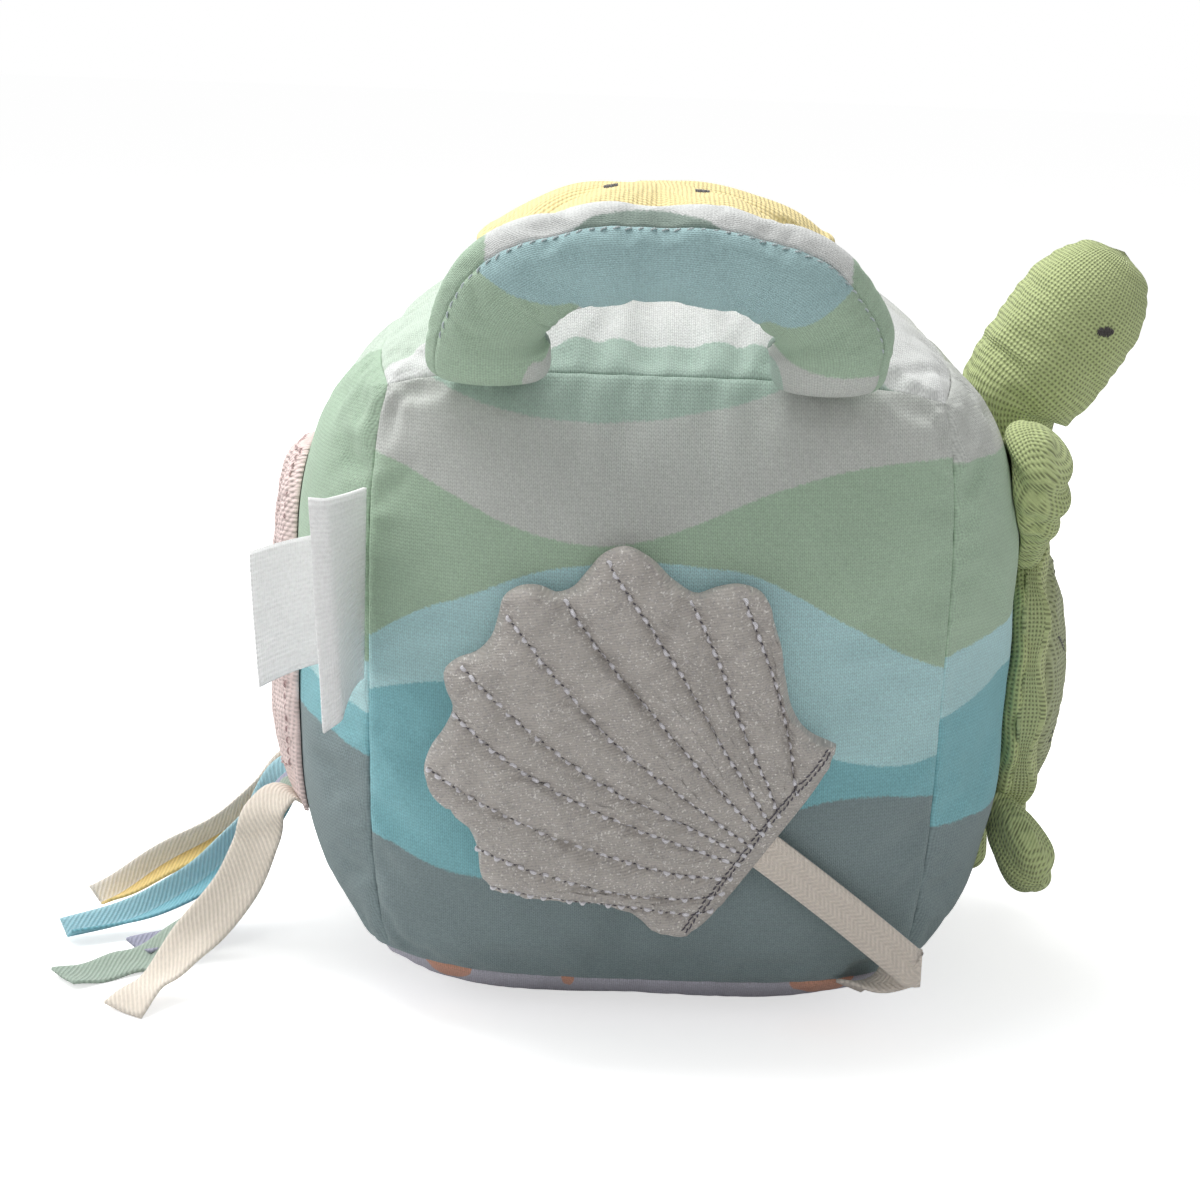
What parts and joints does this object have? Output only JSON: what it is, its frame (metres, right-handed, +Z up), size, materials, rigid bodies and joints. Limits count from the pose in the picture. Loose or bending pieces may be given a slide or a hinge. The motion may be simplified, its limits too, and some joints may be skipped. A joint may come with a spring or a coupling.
{
  "type": "soft activity block",
  "caption": "Stuffed fabric cube with a loop handle, padded starfish, turtle and jellyfish, loose ribbons, two bare labels and a scalloped shell toy on a tape.",
  "frame": {"origin": "middle of the flat on which the block rests, on the ground", "axes": "+Z up, +X to the side with the turtle, -Y to the side with the shell toy, +X is also the longest way across the whole toy"},
  "size_m": [0.2514, 0.1684, 0.1836],
  "materials": {
    "label_satin": "satin",
    "wadding": "matt",
    "handle_back_knit": "matt",
    "handle_front_knit": "matt",
    "pink_cloth": "matt",
    "knit_back": "matt",
    "knit_bottom": "matt",
    "knit_front": "matt",
    "knit_left": "matt",
    "knit_right": "matt",
    "knit_top": "matt",
    "rattle_bead": "satin",
    "rattle_plastic": "satin",
    "tape_blue": "matt",
    "tape_cream": "matt",
    "tape_green": "matt",
    "tape_lilac": "matt",
    "tape_yellow": "matt",
    "silver_satin": "satin",
    "yellow_gauze": "matt",
    "twill": "matt",
    "green_gauze": "matt",
    "carapace_gauze": "matt",
    "rim_gauze": "matt"
  },
  "bodies": {
    "block": {"filling_lower": "wadding", "filling_upper": "wadding", "jellyfish_bell": "pink_cloth", "panel_back": "knit_back", "panel_bottom": "knit_bottom", "panel_front": "knit_front", "panel_left": "knit_left", "panel_right": "knit_right", "panel_top": "knit_top", "rattle_capsule_lower": "rattle_plastic", "rattle_capsule_upper": "rattle_plastic", "starfish_lower": "yellow_gauze", "starfish_upper": "yellow_gauze", "tether_root": "twill", "turtle_belly": "green_gauze", "turtle_carapace": "carapace_gauze", "turtle_rim": "rim_gauze", "turtle_tail": "green_gauze"},
    "handle": {"handle_front": "handle_front_knit", "handle_back": "handle_back_knit", "handle_filling": "wadding"},
    "tape": {"tether_tape": "twill"},
    "shell_toy": {"shell_front": "silver_satin", "shell_back": "silver_satin"},
    "turtle_head": {"turtle_head": "green_gauze"},
    "satin_label": {"satin_label": "label_satin"},
    "care_label": {"care_label": "label_satin"},
    "rattle_ball": {"rattle_ball": "rattle_bead"},
    "ribbon_blue": {"ribbon_blue": "tape_blue"},
    "ribbon_cream": {"ribbon_cream": "tape_cream"},
    "ribbon_green": {"ribbon_green": "tape_green"},
    "ribbon_lilac": {"ribbon_lilac": "tape_lilac"},
    "ribbon_yellow": {"ribbon_yellow": "tape_yellow"},
    "turtle_front_flipper_far": {"turtle_front_flipper_far": "green_gauze"},
    "turtle_front_flipper_near": {"turtle_front_flipper_near": "green_gauze"},
    "turtle_rear_flipper_far": {"turtle_rear_flipper_far": "green_gauze"},
    "turtle_rear_flipper_near": {"turtle_rear_flipper_near": "green_gauze"}
  },
  "joints": [
    {"name": "handle_tip", "type": "hinge", "parent": "block", "child": "handle", "pos_m": [-0.0022, -0.06919, 0.15369], "axis": [1, 0, 0], "range_deg": [-40, 60]},
    {"name": "tether_fold", "type": "hinge", "parent": "block", "child": "tape", "pos_m": [0.0585, -0.0733, 0.02], "axis": [0, 0, 1], "range_deg": [0, 120]},
    {"name": "shell_flop", "type": "hinge", "parent": "tape", "child": "shell_toy", "pos_m": [0.0217, -0.0818, 0.04553], "axis": [0.5764, 0, 0.8171], "range_deg": [0, 75]},
    {"name": "turtle_head_nod", "type": "hinge", "parent": "block", "child": "turtle_head", "pos_m": [0.08573, 0, 0.1141], "axis": [0, 1, 0], "range_deg": [0, 40]},
    {"name": "front_flipper_far_lift", "type": "hinge", "parent": "block", "child": "turtle_front_flipper_far", "pos_m": [0.08531, 0.02066, 0.10301], "axis": [0, 0.9081, -0.4188], "range_deg": [0, 25]},
    {"name": "front_flipper_near_lift", "type": "hinge", "parent": "block", "child": "turtle_front_flipper_near", "pos_m": [0.08531, -0.02066, 0.10301], "axis": [0, 0.9081, 0.4188], "range_deg": [0, 25]},
    {"name": "rear_flipper_far_lift", "type": "hinge", "parent": "block", "child": "turtle_rear_flipper_far", "pos_m": [0.08273, 0.02147, 0.04194], "axis": [0, -0.7102, -0.704], "range_deg": [0, 25]},
    {"name": "rear_flipper_near_lift", "type": "hinge", "parent": "block", "child": "turtle_rear_flipper_near", "pos_m": [0.08272, -0.02147, 0.04194], "axis": [0, -0.7102, 0.704], "range_deg": [0, 25]},
    {"name": "ribbon_blue_lift", "type": "hinge", "parent": "block", "child": "ribbon_blue", "pos_m": [-0.07925, 0.015, 0.0392], "axis": [0, 1, 0], "range_deg": [-30, 45]},
    {"name": "ribbon_cream_lift", "type": "hinge", "parent": "block", "child": "ribbon_cream", "pos_m": [-0.0784, -0.03, 0.0392], "axis": [0, 1, 0], "range_deg": [-30, 45]},
    {"name": "ribbon_green_lift", "type": "hinge", "parent": "block", "child": "ribbon_green", "pos_m": [-0.07925, -0.015, 0.0392], "axis": [0, 1, 0], "range_deg": [-30, 45]},
    {"name": "ribbon_lilac_lift", "type": "hinge", "parent": "block", "child": "ribbon_lilac", "pos_m": [-0.07935, 0, 0.0392], "axis": [0, 1, 0], "range_deg": [-30, 45]},
    {"name": "ribbon_yellow_lift", "type": "hinge", "parent": "block", "child": "ribbon_yellow", "pos_m": [-0.0784, 0.03, 0.0392], "axis": [0, 1, 0], "range_deg": [-30, 45]},
    {"name": "satin_label_bend", "type": "hinge", "parent": "block", "child": "satin_label", "pos_m": [-0.06438, -0.06328, 0.0963], "axis": [0, 0, 1], "range_deg": [-25, 20]},
    {"name": "care_label_bend", "type": "hinge", "parent": "block", "child": "care_label", "pos_m": [-0.06364, -0.06403, 0.0977], "axis": [0, 0, 1], "range_deg": [-20, 25]},
    {"name": "rattle_ball_slide", "type": "slide", "parent": "block", "child": "rattle_ball", "axis": [0, 0, 1], "range_m": [0, 0.02]}
  ]
}
